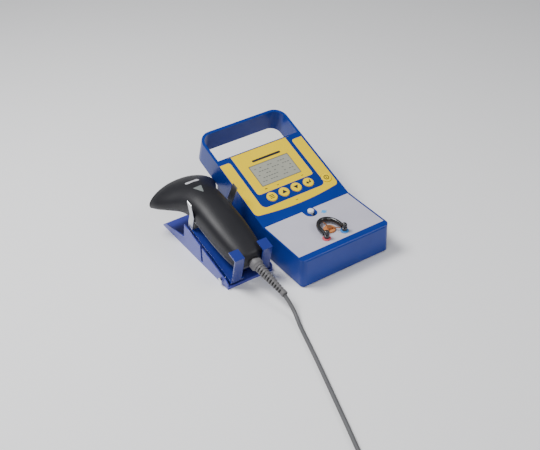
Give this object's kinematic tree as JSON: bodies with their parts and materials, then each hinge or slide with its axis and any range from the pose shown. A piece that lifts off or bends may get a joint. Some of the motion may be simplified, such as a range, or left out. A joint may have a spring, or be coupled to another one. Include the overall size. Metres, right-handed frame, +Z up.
{
  "type": "soldering tip thermometer with scanner cradle",
  "caption": "Blue tip thermometer with sloped display, carrying hoop and sensor bay, beside a sheet-metal cradle holding a corded touch scanner.",
  "frame": {"origin": "on the bench, at the middle of the footprint of everything but the free cord", "axes": "+X to the case's right, +Y to the back, where the carrying hoop is, +Z up"},
  "size_m": [0.2605, 0.4645, 0.0774],
  "materials": {
    "case_blue": "satin moulded royal blue",
    "navy_plastic": "fine spark-eroded texture",
    "membrane_yellow": "printed polyester film, yellow and blue, lightly textured",
    "key_yellow": "satin printed key caps",
    "lcd_glass": "clear window over a grey reflective display",
    "lcd_panel": "grey display module",
    "board_green": "solder-masked circuit board",
    "battery_dark": "plain painted steel can",
    "foot_rubber": "matt rubber",
    "plate_lilac": "matt lilac-grey paint",
    "guard_black": "semi-gloss heat-resistant moulding",
    "sensor_copper": "dull alloy wire and disc",
    "pad_orange": "heat-resistant woven pad",
    "lever_white": "polished white moulding",
    "bright_steel": "zinc-plated steel",
    "terminal_chrome": "polished ball top over a dark collar",
    "ring_red": "printed ring",
    "ring_blue": "printed ring",
    "cradle_paint": "violet-blue powder coat",
    "tray_paint": "deep blue gloss coat",
    "handset_black": "fine leather-grain black",
    "handset_grey": "soft charcoal rubberised shell",
    "scan_red": "deep red translucent window",
    "lens_grey": "frosted indicator lens",
    "badge_white": "plain bright plate",
    "relief_grey": "flexible grey moulding",
    "cord_grey": "matt grey jacket",
    "plug_black": "moulded grip"
  },
  "bodies": {
    "root": {"case_shell": "case_blue", "bottom_cover": "navy_plastic", "battery": "battery_dark", "battery_snap": "foot_rubber", "sensor_plate": "plate_lilac", "sensor_guard": "guard_black", "thermocouple": "sensor_copper", "heat_pad": "pad_orange", "lever_spring": "bright_steel", "left_terminal": "terminal_chrome", "left_terminal_ring": "ring_red", "right_terminal": "terminal_chrome", "right_terminal_ring": "ring_blue", "display_overlay": "membrane_yellow", "lcd_window": "lcd_glass", "lcd_module": "lcd_panel", "main_board": "board_green", "cradle_base": "cradle_paint", "left_pivot_screw": "bright_steel", "right_pivot_screw": "bright_steel", "cord_tube": "cord_grey", "cord_coil": "cord_grey", "cord_tail": "cord_grey", "cord_tie": "plug_black", "plug_body": "plug_black", "plug_shell": "bright_steel", "case_screw_1": "bright_steel", "foot_1": "foot_rubber", "case_screw_2": "bright_steel", "foot_2": "foot_rubber", "case_screw_3": "bright_steel", "foot_3": "foot_rubber", "case_screw_4": "bright_steel", "foot_4": "foot_rubber"},
    "tray": {"tray": "tray_paint", "spring_clip": "bright_steel", "clip_rivet": "bright_steel"},
    "handset": {"handset_top": "handset_black", "handset_bottom": "handset_grey", "scan_window": "scan_red", "trigger_spring": "bright_steel", "scan_board": "board_green", "scan_engine": "handset_grey", "indicator_lens": "lens_grey", "name_badge": "badge_white", "handset_screw_1": "bright_steel", "handset_screw_2": "bright_steel", "strain_relief": "relief_grey", "cord_lead": "cord_grey"},
    "trigger": {"trigger": "handset_black"},
    "battery_door": {"battery_door": "navy_plastic"},
    "slide_lever": {"slide_lever": "lever_white"},
    "power_key": {"power_key": "key_yellow"},
    "menu_key": {"menu_key": "key_yellow"},
    "up_key": {"up_key": "key_yellow"},
    "down_key": {"down_key": "key_yellow"},
    "enter_key": {"enter_key": "key_yellow"}
  },
  "joints": [
    {"name": "tray_tilt", "type": "hinge", "parent": "root", "child": "tray", "pos_m": [-0.0485, -0.0492, 0.006], "axis": [1, 0, 0], "range_deg": [-7, 0]},
    {"name": "handset_lift_off", "type": "slide", "parent": "tray", "child": "handset", "axis": [0, 0.9622, 0.2723], "range_m": [0, 0.018]},
    {"name": "trigger_press", "type": "slide", "parent": "handset", "child": "trigger", "axis": [0, -0.2723, 0.9622], "range_m": [0, 0.0012], "stiffness_N_per_m": 600, "springref_m": -0.002, "deforming": ["trigger_spring"]},
    {"name": "battery_door_slide", "type": "slide", "parent": "root", "child": "battery_door", "axis": [0, 1, 0], "range_m": [0, 0.02]},
    {"name": "lever_slide", "type": "slide", "parent": "root", "child": "slide_lever", "axis": [0, -1, 0], "range_m": [0, 0.0035], "stiffness_N_per_m": 250, "springref_m": -0.003},
    {"name": "power_key_press", "type": "slide", "parent": "root", "child": "power_key", "axis": [0, 0.3371, -0.9415], "range_m": [0, 0.0005], "stiffness_N_per_m": 900, "springref_m": -0.001},
    {"name": "menu_key_press", "type": "slide", "parent": "root", "child": "menu_key", "axis": [0, 0.3371, -0.9415], "range_m": [0, 0.0005], "stiffness_N_per_m": 900, "springref_m": -0.001},
    {"name": "up_key_press", "type": "slide", "parent": "root", "child": "up_key", "axis": [0, 0.3371, -0.9415], "range_m": [0, 0.0005], "stiffness_N_per_m": 900, "springref_m": -0.001},
    {"name": "down_key_press", "type": "slide", "parent": "root", "child": "down_key", "axis": [0, 0.3371, -0.9415], "range_m": [0, 0.0005], "stiffness_N_per_m": 900, "springref_m": -0.001},
    {"name": "enter_key_press", "type": "slide", "parent": "root", "child": "enter_key", "axis": [0, 0.3371, -0.9415], "range_m": [0, 0.0005], "stiffness_N_per_m": 900, "springref_m": -0.001}
  ]
}
